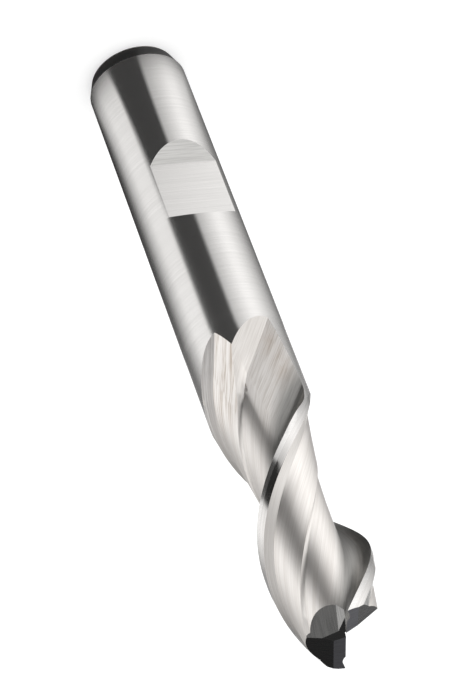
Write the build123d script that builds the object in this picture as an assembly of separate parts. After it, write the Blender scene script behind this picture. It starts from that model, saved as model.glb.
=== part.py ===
from build123d import *
from build123d.topology import SkipClean
import math
import os

# A two-flute slot drill with a clamping flat on its shank, ground from one bar.
# The tool stands on its shank end: the origin is the centre of that end face,
# +Z runs along the axis to the cutting end, and the clamping flat faces -Y.
# Sizes are in mm and degrees. A point of the cross-section is given by its radius
# and by its angle ahead of its tooth's cutting edge, in the direction of the cut.

# Bar
cutter_diameter = 11.95
shank_diameter = 12.0
overall_length = 83.0
shank_length = 42.0
blend_length = 1.0
end_chamfer_length = 2.1
end_chamfer_depth = 0.75
seam_angle = 57.0

# Clamping flat
flat_centre = 22.5
flat_length = 8.0
flat_height = 10.4
flat_ramp_length = 2.4

# Teeth
helix_lead = 45.4
long_tooth_angle = 103.1

# Flute wheel: its size and setting, and the corners of the flute that it leaves
flute_wheel_radius = 50.0
flute_wheel_tilt = 36.8
flute_run = 32.4
flute_wheel_ahead = 84.0
core_radius = 3.25
rake_root = (3.3, -9.0)
rake_root_fillet = 1.4
heel_corner = (3.5, 98.0)
heel_side = (5.2, 117.0)

# Back wheel: it clears the broad back of a tooth and the facet behind its land
back_wheel_radius = 75.0
back_wheel_tilt = 36.0
back_run = 33.5
back_wheel_ahead = -37.6
back_corner = (4.96, -25.2)
back_end = (3.6, -98.5)
facet_top = (5.82, -15.1)

# Land wheel: it gives the strip behind the margin its relief
land_wheel_radius = 50.0
land_wheel_tilt = 36.8
land_run = 29.0
land_wheel_ahead = -12.0
margin_width_angle = 6.5
land_back = (5.6, -27.0)

# End teeth
dish_angle = 2.0
end_relief = 9.0
end_land_width = 1.3
end_clearance = 24.0

# Gashes: where each starts along its tooth's edge, from the centre, and its form
long_gash_start = -1.1
short_gash_start = 1.34
gash_rake = 8.0
gash_descent = 41.5
gash_facet_width = 0.96
gash_facet_angle = 40.0
gash_floor_angle = 16.3

# Point relief: the shallow facet that ends the long tooth just past the centre
point_relief_start = 0.23
point_relief_descent = 24.0
point_relief_angle = 9.0

cutter_radius = cutter_diameter / 2
shank_radius = shank_diameter / 2

# Cuts run on past the work: reach from the axis, clear beyond a surface or an end,
# and swing to each side of the place where a wheel touches
reach = 1.6 * cutter_radius
clear = 3.0
swing = 22.0


def sin(angle):
    return math.sin(math.radians(angle))


def cos(angle):
    return math.cos(math.radians(angle))


def tan(angle):
    return math.tan(math.radians(angle))


def bar():
    """The ground blank: chamfered shank, and the slightly thinner end that the teeth are cut into."""
    outline = Polyline(
        (0, 0),
        (shank_radius - end_chamfer_depth, 0),
        (shank_radius, end_chamfer_length),
        (shank_radius, shank_length),
        (cutter_radius, shank_length + blend_length),
        (cutter_radius, overall_length),
        (0, overall_length),
        close=True,
    )
    return Rot(0, 0, seam_angle) * revolve(make_face(Plane.XZ * outline), Axis.Z)


def clamping_flat():
    """What the flat takes away: a steep wall towards the tip and a ramp towards the shank end."""
    floor = flat_height - shank_radius
    start = flat_centre - flat_length / 2
    end = flat_centre + flat_length / 2
    ramp_rise = shank_radius - floor
    outline = Polyline(
        (floor, start),
        (floor, end),
        (shank_radius + clear, end),
        (shank_radius + clear, start - flat_ramp_length * (1 + clear / ramp_rise)),
        close=True,
    )
    cut = extrude(make_face(Plane.XZ * outline), shank_radius + clear, both=True)
    return Rot(0, 0, -90) * cut


def edge_angle(height):
    """Direction of the long tooth's cutting edge at a height above the shank end."""
    return long_tooth_angle + (height - overall_length) * 360 / helix_lead


class Wheel:
    """A grinding wheel in its last place, where it lifts out of the work.

    The wheel touches the tool along +X of its own frame. Its plane leans from the tool's
    axis by tilt. The line along which it touches the helical surface lies in one plane
    through +X, and slip is how far that line runs back along the wheel for each mm across it.
    """

    def __init__(self, radius, tilt, depth, ahead, run):
        self.tilt = tilt
        self.ahead = ahead
        self.run = run
        self.centre = radius + depth
        lift = depth * sin(tilt) + helix_lead / (2 * math.pi) * cos(tilt)
        self.slip = cos(tilt) / (sin(tilt) + lift / radius)
        self.sideways = cos(tilt) - self.slip * sin(tilt)
        self.climb = sin(tilt) + self.slip * cos(tilt)

    def profile_point(self, corner):
        """The wheel's own depth and width at a corner of the cross-section."""
        radius, ahead = corner
        turn = ahead - self.ahead
        width = 0.0
        for _ in range(30):
            side = math.degrees(math.asin(width * self.sideways / radius))
            width = (turn - side) / 360 * helix_lead / self.climb
        x = math.sqrt(radius**2 - (width * self.sideways) ** 2)
        depth = self.centre - math.hypot(self.centre - x, width * self.slip)
        return (depth, width)

    def run_out(self, inner, outer):
        """The line through two corners, followed outwards until it is clear of the work."""
        start = Vector(*self.profile_point(inner))
        end = Vector(*self.profile_point(outer))
        step = end - start
        far = end + step * ((reach - end.X) / step.X)
        return (far.X, far.Y)

    def cut(self, corners, rounded=0.0):
        """The last imprint of the wheel, and the helical channel that led up to it.

        The corners go across the wheel's face. Its first and last lines run on outwards.
        """
        outline = [self.run_out(corners[1], corners[0])]
        outline += [self.profile_point(corner) for corner in corners[1:-1]]
        outline += [self.run_out(corners[-2], corners[-1])]
        face = make_face(Polyline(*outline, close=True))
        if rounded:
            root = face.vertices().sort_by_distance(outline[1])[0]
            face = fillet(root, rounded)
        plane = Plane((0, 0, 0), x_dir=(1, 0, 0), z_dir=(0, sin(self.tilt), cos(self.tilt)))
        axis = Axis(plane.from_local_coords((self.centre, 0, 0)), plane.y_dir)
        wheel = revolve((plane * face).rotate(axis, -swing), axis, 2 * swing)
        size = 4 * overall_length
        lean = math.degrees(math.atan2(self.sideways, self.climb))
        half = Rot(lean, 0, 0) * Pos(0, size / 2, 0) * Box(size, size, size)
        imprint = wheel - half
        normal = Vector(0, cos(lean), sin(lean))
        ends = [f for f in imprint.faces() if abs(f.center().dot(normal)) < 1e-6]
        start = max(ends, key=lambda f: f.area)
        path = Helix(pitch=helix_lead, height=self.run + 4 * clear, radius=cutter_radius)
        channel = sweep(start, path=path, is_frenet=True)
        height = overall_length - self.run
        place = Pos(0, 0, height) * Rot(0, 0, edge_angle(height) + self.ahead)
        return [place * channel, place * imprint]


def flute():
    wheel = Wheel(flute_wheel_radius, flute_wheel_tilt, core_radius, flute_wheel_ahead, flute_run)
    edge = (cutter_radius, 0.0)
    return wheel.cut([edge, rake_root, heel_corner, heel_side], rake_root_fillet)


def back():
    wheel = Wheel(back_wheel_radius, back_wheel_tilt, core_radius, back_wheel_ahead, back_run)
    behind = (cutter_radius, back_end[1] - 1)
    return wheel.cut([facet_top, back_corner, back_end, behind])


def land():
    depth = land_back[0]
    wheel = Wheel(land_wheel_radius, land_wheel_tilt, depth, land_wheel_ahead, land_run)
    margin = (cutter_radius, -margin_width_angle)
    behind = (cutter_radius, land_back[1] - 1)
    return wheel.cut([margin, land_back, behind])


def end_faces():
    """What the two flanks behind an end edge take away. The edge runs along +X, ahead is +Y."""
    land_drop = end_land_width * tan(end_relief)
    heel_drop = land_drop + (reach - end_land_width) * tan(end_clearance)
    outline = Polyline(
        (0, 0),
        (-end_land_width, -land_drop),
        (-reach, -heel_drop),
        (-reach, reach),
        (0, reach),
        close=True,
    )
    cut = extrude(make_face(Plane.YZ * outline), reach, both=True)
    return Pos(cutter_radius, 0, 0) * Rot(0, -dish_angle, 0) * Pos(-cutter_radius, 0, 0) * cut


def gash(start, descent, facet_width, facet_angle, floor_angle):
    """A straight pass under the end edge: rake face, narrow facet and floor, falling outwards."""
    facet_reach = facet_width * cos(facet_angle)
    facet_drop = facet_width * sin(facet_angle)
    floor_drop = facet_drop + (reach - facet_reach) * tan(floor_angle)
    corners = [(0, reach), (0, 0), (facet_reach, -facet_drop), (reach, -floor_drop), (reach, reach)]
    if facet_width == 0:
        corners.remove((facet_reach, -facet_drop))
    cut = extrude(make_face(Plane.YZ * Polyline(*corners, close=True)), 2 * reach, both=True)
    edge_drop = (cutter_radius - start) * tan(dish_angle)
    return Pos(start, 0, -edge_drop) * Rot(-gash_rake, 0, 0) * Rot(0, descent, 0) * cut


def long_gash():
    return gash(long_gash_start, gash_descent, 0, 0, gash_floor_angle)


def short_gash():
    width = gash_facet_width
    return gash(short_gash_start, gash_descent, width, gash_facet_angle, gash_floor_angle)


def point_relief():
    return gash(point_relief_start, point_relief_descent, 0, 0, point_relief_angle)


def build():
    tool = bar() - clamping_flat()
    for turn in (0, 180):
        for step in flute() + back() + land():
            tool = tool - Rot(0, 0, turn) * step
    long_tooth = Pos(0, 0, overall_length) * Rot(0, 0, long_tooth_angle)
    short_tooth = long_tooth * Rot(0, 0, 180)
    for step in (
        long_tooth * end_faces(),
        short_tooth * end_faces(),
        long_tooth * long_gash(),
        short_tooth * short_gash(),
        short_tooth * point_relief(),
    ):
        tool = tool - step
    return divided_at(tool, flat_centre + flat_length / 2)


def divided_at(tool, height):
    """The same tool with its shank's wall in two faces, one below and one above a height."""
    level = Plane.XY.offset(height)
    with SkipClean():
        return split(tool, level, keep=Keep.BOTTOM) + split(tool, level, keep=Keep.TOP)


tool = build()
os.makedirs("parts", exist_ok=True)
export_step(tool, "parts/slot_drill.step")
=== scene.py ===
import math

import bmesh
import bpy
from mathutils import Matrix, Vector


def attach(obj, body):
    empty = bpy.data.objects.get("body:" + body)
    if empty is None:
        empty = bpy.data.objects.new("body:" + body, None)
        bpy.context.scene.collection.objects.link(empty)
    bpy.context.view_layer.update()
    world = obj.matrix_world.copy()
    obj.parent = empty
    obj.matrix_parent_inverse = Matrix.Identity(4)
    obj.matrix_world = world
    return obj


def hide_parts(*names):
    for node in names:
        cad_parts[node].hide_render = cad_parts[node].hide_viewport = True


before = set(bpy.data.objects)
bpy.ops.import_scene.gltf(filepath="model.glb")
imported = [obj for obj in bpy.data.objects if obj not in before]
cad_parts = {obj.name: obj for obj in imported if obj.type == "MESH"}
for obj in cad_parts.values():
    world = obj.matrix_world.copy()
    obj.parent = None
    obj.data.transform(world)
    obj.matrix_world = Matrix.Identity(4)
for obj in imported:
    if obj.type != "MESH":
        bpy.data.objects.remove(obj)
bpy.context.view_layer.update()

MM = 0.001

# The tool, in metres and degrees: it stands on its shank end, the tip up
CUTTER_RADIUS = 5.975 * MM
LENGTH = 83.0 * MM
LEAD = 45.4 * MM
LONG_TOOTH = 103.1
CHAMFER_TOP = 2.1 * MM
LAND_RADIUS = 5.79 * MM
FLAT_FLOOR = 4.4 * MM
FLAT_END = 26.5 * MM


# ---------------------------------------------------------------- camera
# Places and reach in metres, the roll in radians, the lens and the sensor in millimetres
CAMERA_PLACE = Vector((111.86, -245.46, 228.92)) * MM
CAMERA_TARGET = Vector((0.284, 0.129, 43.128)) * MM
CAMERA_ROLL = -0.361
CAMERA_LENS = 148.534
CAMERA_SENSOR = 36.0
CAMERA_REACH = (0.01, 20.0)


def make_camera():
    """The photograph's view: from above, with the tool's foot at the top of the picture."""
    forward = (CAMERA_TARGET - CAMERA_PLACE).normalized()
    right = forward.cross(Vector((0, 0, -1))).normalized()
    up = right.cross(forward)
    across = right * math.cos(CAMERA_ROLL) + up * math.sin(CAMERA_ROLL)
    above = up * math.cos(CAMERA_ROLL) - right * math.sin(CAMERA_ROLL)
    data = bpy.data.cameras.new("camera")
    camera = bpy.data.objects.new("camera", data)
    bpy.context.collection.objects.link(camera)
    turn = Matrix((across, above, -forward)).transposed().to_4x4()
    camera.matrix_world = Matrix.Translation(CAMERA_PLACE) @ turn
    data.sensor_fit = "VERTICAL"
    data.sensor_height = CAMERA_SENSOR
    data.sensor_width = CAMERA_SENSOR
    data.lens = CAMERA_LENS
    data.clip_start, data.clip_end = CAMERA_REACH
    bpy.context.scene.camera = camera


# ---------------------------------------------------------------- node helpers
class Nodes:
    """A node tree with short calls for its nodes and links."""

    def __init__(self, tree):
        self.tree = tree

    def add(self, kind, **settings):
        node = self.tree.nodes.new(kind)
        for name, value in settings.items():
            setattr(node, name, value)
        return node

    def link(self, out, into):
        self.tree.links.new(out, into)

    def put(self, socket, value):
        if isinstance(value, bpy.types.NodeSocket):
            self.link(value, socket)
        else:
            socket.default_value = value

    def math(self, operation, a, b=0.0, clamp=False):
        node = self.add("ShaderNodeMath", operation=operation, use_clamp=clamp)
        self.put(node.inputs[0], a)
        self.put(node.inputs[1], b)
        return node.outputs[0]

    def plus(self, a, b):
        return self.math("ADD", a, b)

    def minus(self, a, b):
        return self.math("SUBTRACT", a, b)

    def times(self, a, b):
        return self.math("MULTIPLY", a, b)

    def length(self, a, b):
        """Length of the diagonal of two measures."""
        return self.math("SQRT", self.plus(self.times(a, a), self.times(b, b)))

    def degrees(self, operation, value):
        """An angle in degrees, by an inverse function such as ARCSINE."""
        return self.times(self.math(operation, value), 180 / math.pi)

    def combine(self, x, y, z):
        node = self.add("ShaderNodeCombineXYZ")
        for socket, value in zip(node.inputs, (x, y, z)):
            self.put(socket, value)
        return node.outputs[0]

    def separate(self, vector):
        node = self.add("ShaderNodeSeparateXYZ")
        self.link(vector, node.inputs[0])
        return node.outputs

    def normalized(self, x, y, z):
        node = self.add("ShaderNodeVectorMath", operation="NORMALIZE")
        self.link(self.combine(x, y, z), node.inputs[0])
        return node.outputs[0]

    def noise(self, vector, scale, detail=2.0, roughness=0.5):
        node = self.add("ShaderNodeTexNoise")
        self.link(vector, node.inputs["Vector"])
        node.inputs["Scale"].default_value = scale
        node.inputs["Detail"].default_value = detail
        node.inputs["Roughness"].default_value = roughness
        return node.outputs["Fac"]

    def spread(self, value, low, high, out_low=0.0, out_high=1.0):
        """A value between low and high, spread over another range and held at its ends."""
        node = self.add("ShaderNodeMapRange")
        self.link(value, node.inputs["Value"])
        for name, number in (
            ("From Min", low),
            ("From Max", high),
            ("To Min", out_low),
            ("To Max", out_high),
        ):
            node.inputs[name].default_value = number
        return node.outputs["Result"]

    def fade(self, value, start, end):
        """1 up to a start, and 0 from an end."""
        return self.spread(value, start, end, 1.0, 0.0)

    def mix(self, factor, first, second):
        node = self.add("ShaderNodeMix", data_type="RGBA")
        self.link(factor, node.inputs["Factor"])
        self.link(first, node.inputs["A"])
        self.link(second, node.inputs["B"])
        return node.outputs["Result"]

    def ramp(self, factor, stops):
        node = self.add("ShaderNodeValToRGB")
        self.link(factor, node.inputs["Fac"])
        bands = node.color_ramp
        bands.interpolation = "EASE"
        for band, (place, colour) in zip(bands.elements, stops):
            band.position = place
            band.color = (*colour, 1.0)
        return node.outputs["Color"]


# ---------------------------------------------------------------- grain of the wheels
END_ACROSS = math.radians(LONG_TOOTH - 90)

# The wheels' last places, where they lifted out: how each leans from the tool's axis, where it
# touched the work, how far its spindle is from the axis, and the lean of its line of touch
FLUTE_WHEEL = {
    "tilt": 36.8, "azimuth": -69.8, "height": 50.6 * MM, "centre": 53.25 * MM, "lean": 6.5
}
BACK_WHEEL = {
    "tilt": 36.0, "azimuth": -20.1, "height": 49.5 * MM, "centre": 78.25 * MM, "lean": 4.5
}
# How far before its line of touch, and how high above it, a wheel's arcs give way to the helix
ARCS_BEFORE = (-0.3 * MM, 0.1 * MM)
ARCS_ABOVE = (6 * MM, 9 * MM)


def stretched(nodes, u, v, w, scales, detail=2.0, roughness=0.6):
    """Noise on three measures of a place, each in metres with its own lines per metre."""
    parts = [nodes.times(value, scale) for value, scale in zip((u, v, w), scales)]
    return nodes.noise(nodes.combine(*parts), 1.0, detail, roughness)


def shared(nodes, fine, broad, share):
    """Fine lines over broad ones, with the fine lines' share of the whole."""
    return nodes.plus(nodes.times(fine, share), nodes.times(broad, 1 - share))


def turned(nodes, a, b, cosine, sine):
    """Two measures square to each other, turned by an angle."""
    u = nodes.minus(nodes.times(a, cosine), nodes.times(b, sine))
    v = nodes.plus(nodes.times(a, sine), nodes.times(b, cosine))
    return u, v


def turned_back(nodes, place, start=0.0):
    """The cross-section at a place, turned back by the helix and by a starting angle."""
    x, y, z = nodes.separate(place)
    turn = nodes.minus(nodes.times(z, -2 * math.pi / LEAD), start)
    return turned(nodes, x, y, nodes.math("COSINE", turn), nodes.math("SINE", turn))


def ring_grain(nodes, place):
    """Fine rings round the shank, broken here and there."""
    x, y, z = nodes.separate(place)
    fine = stretched(nodes, x, y, z, (90, 90, 9000), 3.0)
    broad = stretched(nodes, x, y, z, (50, 50, 1200))
    return shared(nodes, fine, broad, 0.85)


def helix_grain(nodes, place):
    """Lines along the helix."""
    u, v = turned_back(nodes, place)
    z = nodes.separate(place)[2]
    fine = stretched(nodes, u, v, z, (8000, 8000, 160))
    broad = stretched(nodes, u, v, z, (1800, 1800, 60))
    return shared(nodes, fine, broad, 0.6)


def wheel_grain(nodes, place, wheel):
    """Lines that a wheel left where it lifted out: arcs round the wheel's own spindle.

    They pass into the lines along the helix where the wheel last touched the helical surface.
    The two flutes are alike, so the far half of the tool is read as if it were the near one.
    """
    x, y, z = nodes.separate(place)
    tilt, azimuth, lean = (math.radians(wheel[name]) for name in ("tilt", "azimuth", "lean"))
    out, side = turned(nodes, x, y, math.cos(azimuth), -math.sin(azimuth))
    side = nodes.times(side, nodes.math("SIGN", out))
    back = nodes.minus(nodes.math("ABSOLUTE", out), wheel["centre"])
    rise = nodes.minus(z, wheel["height"])
    width, along = turned(nodes, side, rise, math.cos(tilt), math.sin(tilt))
    depth = nodes.length(back, along)
    fine = stretched(nodes, depth, width, along, (9000, 9000, 260), 3.0)
    broad = stretched(nodes, depth, width, along, (2600, 2600, 150))
    arcs = shared(nodes, fine, broad, 0.7)
    past = nodes.plus(nodes.times(side, math.cos(lean)), nodes.times(rise, math.sin(lean)))
    lower = nodes.times(nodes.fade(past, *ARCS_BEFORE), nodes.fade(rise, *ARCS_ABOVE))
    upper = nodes.minus(1.0, lower)
    return nodes.plus(nodes.times(helix_grain(nodes, place), upper), nodes.times(arcs, lower))


def flute_grain(nodes, place):
    return wheel_grain(nodes, place, FLUTE_WHEEL)


def back_grain(nodes, place):
    return wheel_grain(nodes, place, BACK_WHEEL)


def flat_grain(nodes, place):
    """Lines across the clamping flat."""
    x, y, z = nodes.separate(place)
    return stretched(nodes, x, y, z, (160, 160, 6500), 3.0)


def gash_grain(nodes, place):
    """Lines down the gashes, which run out square to the end edges' own direction."""
    x, y, z = nodes.separate(place)
    across, along = turned(nodes, x, y, math.cos(END_ACROSS), -math.sin(END_ACROSS))
    return stretched(nodes, across, along, z, (7000, 260, 260))


def end_grain(nodes, place):
    """Lines over the end flanks, from the edge to the heel."""
    x, y, z = nodes.separate(place)
    across, along = turned(nodes, x, y, math.cos(END_ACROSS), -math.sin(END_ACROSS))
    return stretched(nodes, across, along, z, (260, 7000, 260))


def round_lay(nodes, place):
    """Which way the lines run round the shank."""
    x, y, z = nodes.separate(place)
    return nodes.combine(nodes.times(y, -1.0), x, 0.0)


def helix_lay(nodes, place):
    """Which way the lines run along the flutes."""
    x, y, z = nodes.separate(place)
    return nodes.combine(nodes.times(y, -1.0), x, LEAD / (2 * math.pi))


def level_lay(nodes, place):
    """Lines straight across the clamping flat."""
    return nodes.combine(1.0, 0.0, 0.0)


# ---------------------------------------------------------------- materials
# How deep the wheels' lines are
GRAIN_DEPTH = 0.003 * MM

# Where the flute wheel lifted out it left a broad flank with coarse brownish lines: the way
# the flank faces (azimuth and elevation), how many degrees off that its look starts and is
# full, and the height where it has faded into the flute
RUN_OUT_FACING = (-75, 5)
RUN_OUT_ALIKE = (14.5, 7)
RUN_OUT_TOP = 59 * MM
RUN_OUT_FADE = 4 * MM
FLANK_DARK = (0.64, 0.60, 0.56)
FLANK_LIGHT = (0.84, 0.81, 0.785)
FLANK_METAL = 0.4
BROWN_DARK = (0.54, 0.47, 0.41)
BROWN_LIGHT = (0.80, 0.75, 0.71)

# The stain starts and fades over these distances from the axis, and some of it is left beyond
# them. Its patches are so many to a metre
STAIN_STARTS = (3.9 * MM, 4.8 * MM)
STAIN_FADES = (5.2 * MM, 5.8 * MM)
STAIN_LEFT = 0.15
STAIN_PATCHES = 700

# The facet beside the back's run-out, told by how far it looks upwards. Its streaks are grain
# lines, in tones painted darker as painted shade
FACET_RISE = (0.3, 0.4)
SHADED_STREAK_DARK = (0.58, 0.55, 0.53)
SHADED_STREAK_LIGHT = (0.82, 0.80, 0.78)

# The rake face is painted darker, as painted shade. Degrees ahead of the cutting edge at which
# this painted shade starts and fades
RAKE_SHADE_DARK = (0.27, 0.265, 0.255)
RAKE_SHADE_LIGHT = (0.38, 0.37, 0.355)
RAKE_SHADE_STARTS = (-14, -11)
RAKE_SHADE_FADES = (14, 40)

# The wheels' work on flutes and backs: its tones, dark and light, its gloss, smooth and rough,
# and how far its highlights are stretched
FLUTE_TONES = ((0.72, 0.685, 0.65), (0.86, 0.83, 0.80))
FLUTE_GLOSS = (0.34, 0.38)
FLUTE_STRETCH = 0.87


def ground_steel(name, tones, gloss, grain, bump, stretch=0.0, lay=None, marks=None):
    """Ground high-speed steel: the wheel's lines in its colour, gloss and relief."""
    material = bpy.data.materials.new(name)
    material.use_nodes = True
    nodes = Nodes(material.node_tree)
    shader = material.node_tree.nodes["Principled BSDF"]
    shader.inputs["Metallic"].default_value = 1.0
    place = nodes.add("ShaderNodeTexCoord").outputs["Object"]
    facing = nodes.add("ShaderNodeNewGeometry").outputs["Normal"]
    lines = grain(nodes, place)
    dark, light = tones
    colour = nodes.ramp(lines, ((0.3, dark), (0.7, light)))
    smooth, rough = gloss
    dullness = nodes.spread(lines, 0.25, 0.75, rough, smooth)
    if marks:
        colour = marks(nodes, shader, place, facing, lines, colour)
    nodes.link(colour, shader.inputs["Base Color"])
    nodes.link(dullness, shader.inputs["Roughness"])
    if lay:
        across = nodes.add("ShaderNodeVectorMath", operation="CROSS_PRODUCT")
        nodes.link(facing, across.inputs[0])
        nodes.link(lay(nodes, place), across.inputs[1])
        shader.inputs["Anisotropic"].default_value = stretch
        nodes.link(across.outputs[0], shader.inputs["Tangent"])
    relief = nodes.add("ShaderNodeBump")
    relief.inputs["Strength"].default_value = bump
    relief.inputs["Distance"].default_value = GRAIN_DEPTH
    nodes.link(lines, relief.inputs["Height"])
    nodes.link(relief.outputs["Normal"], shader.inputs["Normal"])
    return material


def flute_marks(nodes, shader, place, facing, lines, colour):
    """The coarse stained flank of the run-out, and painted shade on the rake face."""
    flank = run_out_flank(nodes, place, facing)
    plain = nodes.ramp(lines, ((0.34, FLANK_DARK), (0.62, FLANK_LIGHT)))
    brown = nodes.ramp(lines, ((0.34, BROWN_DARK), (0.62, BROWN_LIGHT)))
    stained = nodes.mix(run_out_stain(nodes, place), plain, brown)
    colour = nodes.mix(flank, colour, stained)
    nodes.link(nodes.spread(flank, 0.0, 1.0, 1.0, FLANK_METAL), shader.inputs["Metallic"])
    # Painted shade: the rake face's tones are darker than the flute's
    rake = nodes.ramp(lines, ((0.3, RAKE_SHADE_DARK), (0.7, RAKE_SHADE_LIGHT)))
    return nodes.mix(painted_rake_shade(nodes, place), colour, rake)


def back_marks(nodes, shader, place, facing, lines, colour):
    """Brown lines low on the back, and the streaks of the facet beside its run-out, painted
    darker as shade.
    """
    height = nodes.separate(place)[2]
    low = nodes.fade(height, RUN_OUT_TOP - 2 * RUN_OUT_FADE, RUN_OUT_TOP - RUN_OUT_FADE)
    facet = nodes.spread(nodes.separate(facing)[2], *FACET_RISE)
    brown = nodes.ramp(lines, ((0.38, BROWN_DARK), (0.56, FLUTE_TONES[1])))
    # Painted shade: the facet's streaks are darker than the back's own lines
    streaks = nodes.ramp(lines, ((0.36, SHADED_STREAK_DARK), (0.62, SHADED_STREAK_LIGHT)))
    return nodes.mix(low, colour, nodes.mix(facet, brown, streaks))


def painted_rake_shade(nodes, place):
    """1 where shade is painted on the rake face under each cutting edge, fading out over the
    flute's floor.
    """
    edge = math.radians(LONG_TOOTH) - 2 * math.pi * LENGTH / LEAD
    u, v = turned_back(nodes, place, edge)
    ahead = nodes.degrees("ARCTANGENT", nodes.math("DIVIDE", v, u))
    return nodes.times(nodes.spread(ahead, *RAKE_SHADE_STARTS), nodes.fade(ahead, *RAKE_SHADE_FADES))


def run_out_stain(nodes, place):
    """Where the flank is stained brown by the heat of the wheel: out towards the shank's wall."""
    x, y, z = nodes.separate(place)
    radius = nodes.length(x, y)
    inner = nodes.spread(radius, *STAIN_STARTS)
    outer = nodes.spread(radius, *STAIN_FADES, 1.0, STAIN_LEFT)
    patchy = nodes.spread(nodes.noise(place, STAIN_PATCHES), 0.35, 0.6, 0.4, 1.0)
    return nodes.times(nodes.times(inner, outer), patchy)


def run_out_flank(nodes, place, normal):
    """1 on the flat flank of both run-outs, 0 on the rest of the flutes."""
    azimuth, elevation = (math.radians(angle) for angle in RUN_OUT_FACING)
    furthest, nearest = (math.cos(math.radians(angle)) for angle in RUN_OUT_ALIKE)
    facing = nodes.separate(normal)
    level = math.cos(elevation)
    east = nodes.times(facing[0], level * math.cos(azimuth))
    north = nodes.times(facing[1], level * math.sin(azimuth))
    rise = nodes.times(facing[2], math.sin(elevation))
    near = nodes.plus(nodes.math("ABSOLUTE", nodes.plus(east, north)), rise)
    height = nodes.separate(place)[2]
    low = nodes.fade(height, RUN_OUT_TOP - RUN_OUT_FADE, RUN_OUT_TOP)
    return nodes.times(nodes.spread(near, furthest, nearest), low)


def make_finishes():
    """The finish of each ground surface, in the order of the mesh's materials."""
    flute = (FLUTE_TONES, FLUTE_GLOSS)
    lay = (FLUTE_STRETCH, helix_lay)
    return {
        "shank": ground_steel(
            "ground_shank",
            ((0.73, 0.715, 0.70), (0.78, 0.765, 0.75)),
            (0.25, 0.27),
            ring_grain,
            0.06,
            1.0,
            round_lay,
        ),
        "land": ground_steel(
            "ground_land",
            ((0.56, 0.545, 0.53), (0.64, 0.625, 0.61)),
            (0.15, 0.18),
            helix_grain,
            0.08,
            0.5,
            helix_lay,
        ),
        "flat": ground_steel(
            "ground_flat",
            ((0.66, 0.65, 0.63), (0.82, 0.81, 0.79)),
            (0.30, 0.40),
            flat_grain,
            0.25,
            0.7,
            level_lay,
        ),
        "chamfer": ground_steel(
            "turned_chamfer", ((0.5, 0.5, 0.5), (0.62, 0.61, 0.60)), (0.3, 0.4), ring_grain, 0.2
        ),
        "flute": ground_steel("ground_flute", *flute, flute_grain, 0.2, *lay, flute_marks),
        "back": ground_steel("ground_back", *flute, back_grain, 0.2, *lay, back_marks),
        "gash": ground_steel(
            "ground_gash",
            ((0.50, 0.495, 0.485), (0.70, 0.69, 0.675)),
            (0.22, 0.3),
            gash_grain,
            0.3,
        ),
        "end_land": ground_steel(
            "ground_end_land",
            ((0.66, 0.66, 0.71), (0.84, 0.84, 0.90)),
            (0.3, 0.4),
            end_grain,
            0.2,
        ),
        # Painted shade: the end backs are given darker tones than the end land
        "end_back": ground_steel(
            "ground_end_back_painted_shade",
            ((0.38, 0.38, 0.38), (0.52, 0.51, 0.51)),
            (0.24, 0.32),
            end_grain,
            0.2,
        ),
    }


# ---------------------------------------------------------------- the tool
# Edges sharper than this stay crisp, and corners nearer to each other than this become one
SHARP_ANGLE = math.radians(15)
MERGE_DISTANCE = 1e-6

# The flat's wall at the tip side, which looks straight down (the z of its normal) until it is
# leaned back, and how near to a height counts as being at it
WALL_LEAN = math.radians(35)
LOOKS_DOWN = -0.99
TOUCH = 0.001 * MM
CLOSE = 0.01 * MM

# How the finishes are told apart. Heights in metres, the way a face looks as the z of its
# normal, and places behind the cutting edge in degrees
ROUND_WALL = CUTTER_RADIUS - 0.006 * MM
ROUND_WALL_RISE = 0.1
FLAT_BELOW = 27 * MM
END_ABOVE = 78 * MM
END_LAND_RISE = 0.95
END_BACK_RISE = 0.85
GASH_RISE = 0.45
LAND_BEHIND = (6, 15.5)
FACET_BEHIND = (15, 26)
BACK_ENDS_BEHIND = 86
BACK_RISE = 0.31

# The margin's relief starts at this height and is full after the ramp. It reaches this far
# behind the edge, and a point on the edge itself may read as just short of half a turn
MARGIN_START = 51 * MM
MARGIN_RAMP = 5 * MM
MARGIN_RELIEF = math.radians(13)
MARGIN_BEHIND = 7
JUST_SHORT = 179.8

# The heel's rounding, likewise, with the greatest share of the floor's shade. Flute faces that
# look up more than this are the heel, the others the floor
HEEL_START = 46 * MM
HEEL_RAMP = 7 * MM
HEEL_SHARE = 0.9
HEEL_RISE = 0.25


def dress_tool():
    """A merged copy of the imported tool, with each ground surface in its own finish."""
    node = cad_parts["slot_drill"]
    source = node.data
    normals = [Vector(corner.vector) for corner in source.corner_normals]
    mesh = source.copy()
    mesh.name = "slot_drill_ground"
    mesh.materials.clear()
    finishes = make_finishes()
    order = list(finishes)
    for name in order:
        mesh.materials.append(finishes[name])
    body = bmesh.new()
    body.from_mesh(mesh)
    bmesh.ops.remove_doubles(body, verts=body.verts, dist=MERGE_DISTANCE)
    whole = len(body.faces) == len(source.polygons)
    lean_flat_wall(body)
    for face in body.faces:
        face.smooth = True
        face.material_index = order.index(finish_at(face))
    for edge in body.edges:
        edge.smooth = edge.calc_face_angle(0.0) < SHARP_ANGLE
    body.verts.index_update()
    start = 0
    for face in body.faces:
        for corner in face.loops:
            corner.index = start
            start += 1
    if whole and start == len(normals):
        normals = ground_normals(body, normals, order)
    body.to_mesh(mesh)
    body.free()
    if "custom_normal" in mesh.attributes:
        mesh.attributes.remove(mesh.attributes["custom_normal"])
    if whole and len(mesh.loops) == len(normals):
        mesh.normals_split_custom_set(normals)
    piece = bpy.data.objects.new("slot_drill_ground", mesh)
    bpy.context.collection.objects.link(piece)
    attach(piece, "root")
    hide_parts("slot_drill")


def lean_flat_wall(body):
    """The wall at the tip side of the clamping flat leans back towards the tip."""
    for vertex in body.verts:
        out = -vertex.co.y - FLAT_FLOOR
        if abs(vertex.co.z - FLAT_END) < TOUCH and out > TOUCH:
            vertex.co.z += out * math.tan(WALL_LEAN)


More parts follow.
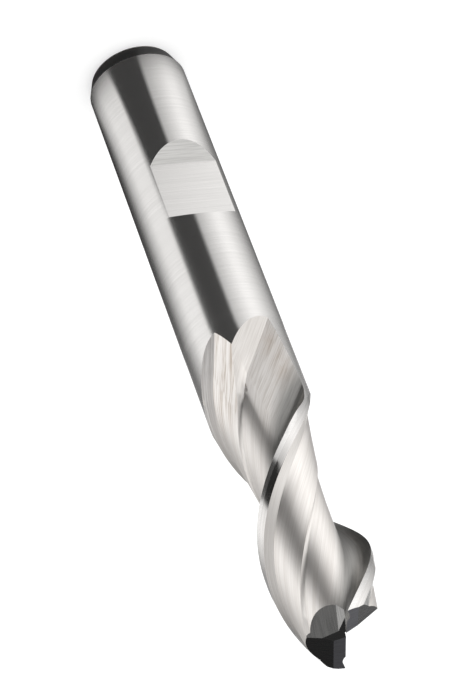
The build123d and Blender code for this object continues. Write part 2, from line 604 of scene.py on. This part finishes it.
def finish_at(face):
    """Which finish a face of the tool has, by its place and the way it looks."""
    place = face.calc_center_median()
    rise = face.normal.z
    radii = [math.hypot(v.co.x, v.co.y) for v in face.verts]
    if max(v.co.z for v in face.verts) < CHAMFER_TOP + CLOSE:
        return "chamfer"
    if min(radii) > ROUND_WALL and abs(rise) < ROUND_WALL_RISE:
        return "shank"
    if place.z < FLAT_BELOW:
        return "flat"
    if place.z > END_ABOVE and rise > END_LAND_RISE:
        return "end_land"
    if place.z > END_ABOVE and rise > END_BACK_RISE:
        return "end_back"
    if place.z > END_ABOVE and rise > GASH_RISE:
        return "gash"
    behind = behind_edge(place)
    if LAND_BEHIND[0] < behind < LAND_BEHIND[1] and min(radii) > LAND_RADIUS:
        return "land"
    if FACET_BEHIND[0] < behind < FACET_BEHIND[1]:
        return "back"
    if FACET_BEHIND[1] <= behind < BACK_ENDS_BEHIND and rise < BACK_RISE:
        return "back"
    return "flute"


def behind_edge(place):
    """Degrees that a place lies behind the cutting edge of the tooth before it."""
    edge = LONG_TOOTH + (place.z - LENGTH) * 360 / LEAD
    return (edge - math.degrees(math.atan2(place.y, place.x))) % 180


def ground_normals(body, normals, order):
    """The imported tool's shading, with three touches that the wheels gave the real one.

    The margin falls away a little behind its edge. The corner where the flute's floor meets
    the heel is rounded, so its shade runs over into the floor's. The flat's leaning wall is
    shaded as it leans.
    """
    floor = {}
    for face in body.faces:
        if order[face.material_index] == "flute" and face.normal.z < HEEL_RISE:
            for corner in face.loops:
                floor.setdefault(corner.vert.index, normals[corner.index])
    leaning = Vector((0, -math.sin(WALL_LEAN), -math.cos(WALL_LEAN)))
    for face in body.faces:
        finish = order[face.material_index]
        for corner in face.loops:
            place = corner.vert.co
            own = normals[corner.index]
            if finish == "flat" and own.z < LOOKS_DOWN and place.z > FLAT_END - CLOSE:
                normals[corner.index] = leaning
            if finish == "shank" and place.z > MARGIN_START:
                if behind_edge(place) % JUST_SHORT < MARGIN_BEHIND:
                    lean = min((place.z - MARGIN_START) / MARGIN_RAMP, 1.0) * MARGIN_RELIEF
                    normals[corner.index] = Matrix.Rotation(-lean, 3, "Z") @ own
            if finish == "flute" and face.normal.z > HEEL_RISE and place.z > HEEL_START:
                if corner.vert.index in floor:
                    share = min((place.z - HEEL_START) / HEEL_RAMP, HEEL_SHARE)
                    rounded = own.lerp(floor[corner.vert.index], share)
                    normals[corner.index] = rounded.normalized()
    return normals


# ---------------------------------------------------------------- studio
# The floor lies a hair below the tool's foot, with the card between the two
ROUND_STEPS = 96
FLOOR_RADIUS = 1.6
FLOOR_LIFT = -0.02 * MM
FLOOR_COLOUR = (0.86, 0.86, 0.86, 1)
FLOOR_GLOW = 0.36

# The soft light round the tool: the way each patch lies in from the tool's middle (azimuth and
# elevation in degrees), its half width and half height at full strength, the fall to nothing
# beyond them, and its strength
SOFT_PATCHES = (
    (-132, -15, 6, 20, 75, 50, 1.08),
    (-15, -15, 25, 20, 50, 30, 0.95),
    (-120, 50, 60, 30, 85, 10, 0.30),
    (120, -10, 120, 5, 90, 20, 0.45),
)
# The dark part in front, towards the camera: azimuth, half width, fall, top and fall upwards
DARK_PART = (-55.5, 25, 7, 0, 10)
DIM = 0.025
# The card lies on the floor round the tool, and is open behind it, where the picture shows
# the white floor: azimuth of the opening's middle, half of its angle, and where it starts
CARD_START = 5.3 * MM
CARD_LIFT = -0.01 * MM
OPENING = (114.5, 22)
OPENING_START = 45 * MM
# On the camera's side the card near the tool is lit as it is at this elevation: the elevation,
# then the side's azimuth, half angle and fall. A ring round the tool's foot is left dark
EVEN_HEIGHT = -30
EVEN_SIDE = (-65, 100, 30)
FOOT_RING = (8 * MM, 12 * MM)
CANOPY_STEPS = (72, 36)
STUDIO_RADIUS = 800 * MM
TOOL_MIDDLE = 0.5 * LENGTH


def make_floor():
    """A white floor that keeps the tool's shadow; its own glow brings it up to white."""
    body = bmesh.new()
    bmesh.ops.create_circle(body, cap_ends=True, segments=ROUND_STEPS, radius=FLOOR_RADIUS)
    mesh = bpy.data.meshes.new("studio_floor")
    body.to_mesh(mesh)
    body.free()
    mesh.transform(Matrix.Translation((0, 0, FLOOR_LIFT)))
    floor = bpy.data.objects.new("studio_floor", mesh)
    bpy.context.collection.objects.link(floor)
    material = bpy.data.materials.new("white_floor")
    material.use_nodes = True
    tree = material.node_tree
    nodes = Nodes(tree)
    shader = tree.nodes["Principled BSDF"]
    shader.inputs["Base Color"].default_value = FLOOR_COLOUR
    shader.inputs["Roughness"].default_value = 0.9
    shader.inputs["Specular IOR Level"].default_value = 0.0
    glow = nodes.add("ShaderNodeEmission")
    glow.inputs["Strength"].default_value = FLOOR_GLOW
    both = nodes.add("ShaderNodeAddShader")
    nodes.link(shader.outputs[0], both.inputs[0])
    nodes.link(glow.outputs[0], both.inputs[1])
    pick = nodes.add("ShaderNodeMixShader")
    nodes.link(seen_white(nodes), pick.inputs[0])
    nodes.link(shader.outputs[0], pick.inputs[1])
    nodes.link(both.outputs[0], pick.inputs[2])
    nodes.link(pick.outputs[0], tree.nodes["Material Output"].inputs["Surface"])
    mesh.materials.append(material)


def seen_white(nodes):
    """The rays that see the white floor: the camera's, and those of metal and glass."""
    rays = nodes.add("ShaderNodeLightPath")
    seen = nodes.math("ADD", rays.outputs["Is Camera Ray"], rays.outputs["Is Glossy Ray"], True)
    return nodes.math("ADD", seen, rays.outputs["Is Transmission Ray"], True)


def away(nodes, across, azimuth):
    """Degrees between a level direction and an azimuth."""
    dot = nodes.add("ShaderNodeVectorMath", operation="DOT_PRODUCT")
    nodes.link(across, dot.inputs[0])
    angle = math.radians(azimuth)
    dot.inputs[1].default_value = (math.cos(angle), math.sin(angle), 0)
    return nodes.degrees("ARCCOSINE", dot.outputs["Value"])


def soft_light(nodes, across, height):
    """Brightness of the studio in a direction from the tool."""
    azimuth, half_width, fall, top, rise = DARK_PART
    wide = nodes.fade(away(nodes, across, azimuth), half_width, half_width + fall)
    low = nodes.fade(height, top, top + rise)
    total = None
    for azimuth, elevation, half_width, half_height, fall, rise, strength in SOFT_PATCHES:
        off = away(nodes, across, azimuth)
        wide_part = nodes.spread(off, half_width, half_width + fall, strength, 0.0)
        off = nodes.math("ABSOLUTE", nodes.minus(height, elevation))
        patch = nodes.times(wide_part, nodes.fade(off, half_height, half_height + rise))
        total = patch if total is None else nodes.plus(total, patch)
    open_part = nodes.minus(1.0, nodes.times(wide, low))
    return nodes.plus(nodes.times(total, open_part), DIM)


def graded_surface():
    """The finish of the canopy and the card: it glows as brightly as the studio should there."""
    material = bpy.data.materials.new("graded_light")
    material.use_nodes = True
    tree = material.node_tree
    tree.nodes.remove(tree.nodes["Principled BSDF"])
    nodes = Nodes(tree)
    x, y, z = nodes.separate(nodes.add("ShaderNodeTexCoord").outputs["Object"])
    way = nodes.normalized(x, y, nodes.minus(z, TOOL_MIDDLE))
    across = nodes.normalized(x, y, 0.0)
    height = nodes.degrees("ARCSINE", nodes.separate(way)[2])
    azimuth, half_width, fall = EVEN_SIDE
    even = nodes.fade(away(nodes, across, azimuth), half_width, half_width + fall)
    even = nodes.times(even, nodes.spread(nodes.length(x, y), *FOOT_RING))
    lift = nodes.minus(nodes.math("MAXIMUM", height, EVEN_HEIGHT), height)
    height = nodes.plus(height, nodes.times(lift, even))
    glow = nodes.add("ShaderNodeEmission")
    nodes.link(soft_light(nodes, across, height), glow.inputs["Strength"])
    nodes.link(glow.outputs[0], tree.nodes["Material Output"].inputs["Surface"])
    return material


def stand_in_studio(name, body, material):
    """A surface of the studio that the steel mirrors, left out of the picture itself."""
    mesh = bpy.data.meshes.new(name)
    body.to_mesh(mesh)
    body.free()
    mesh.materials.append(material)
    piece = bpy.data.objects.new(name, mesh)
    bpy.context.collection.objects.link(piece)
    piece.visible_camera = False
    piece.visible_diffuse = False
    piece.visible_transmission = False
    piece.visible_shadow = False


def make_canopy(material):
    """A canopy over the tool, dark but for its patches of soft light."""
    around, upwards = CANOPY_STEPS
    body = bmesh.new()
    bmesh.ops.create_uvsphere(body, u_segments=around, v_segments=upwards, radius=STUDIO_RADIUS)
    everything = body.verts[:] + body.edges[:] + body.faces[:]
    below = {"plane_co": (0, 0, 0), "plane_no": (0, 0, -1), "clear_outer": True}
    bmesh.ops.bisect_plane(body, geom=everything, **below)
    stand_in_studio("studio_canopy", body, material)


def make_card(material):
    """A graded card flat on the floor, black towards the camera and open behind the tool."""
    middle, half = (math.radians(angle) for angle in OPENING)
    start = middle + half
    full_turn = 2 * math.pi
    body = bmesh.new()
    for inner, outer, angle in (
        (CARD_START, OPENING_START, full_turn),
        (OPENING_START, STUDIO_RADIUS, full_turn - 2 * half),
    ):
        ends = []
        for radius in (inner, outer):
            place = (radius * math.cos(start), radius * math.sin(start), CARD_LIFT)
            ends.append(body.verts.new(place))
        bmesh.ops.spin(
            body,
            geom=[*ends, body.edges.new(ends)],
            cent=(0, 0, 0),
            axis=(0, 0, 1),
            angle=angle,
            steps=ROUND_STEPS,
            use_merge=angle == full_turn,
        )
    stand_in_studio("studio_card", body, material)


def make_world():
    """Plain white light from every side, which is also the background."""
    world = bpy.data.worlds.new("studio")
    bpy.context.scene.world = world
    world.use_nodes = True
    background = world.node_tree.nodes["Background"]
    background.inputs["Strength"].default_value = 1.0
    background.inputs["Color"].default_value = (1, 1, 1, 1)


make_camera()
dress_tool()
make_floor()
graded_light = graded_surface()
make_canopy(graded_light)
make_card(graded_light)
make_world()
bpy.context.scene.view_settings.view_transform = "Standard"
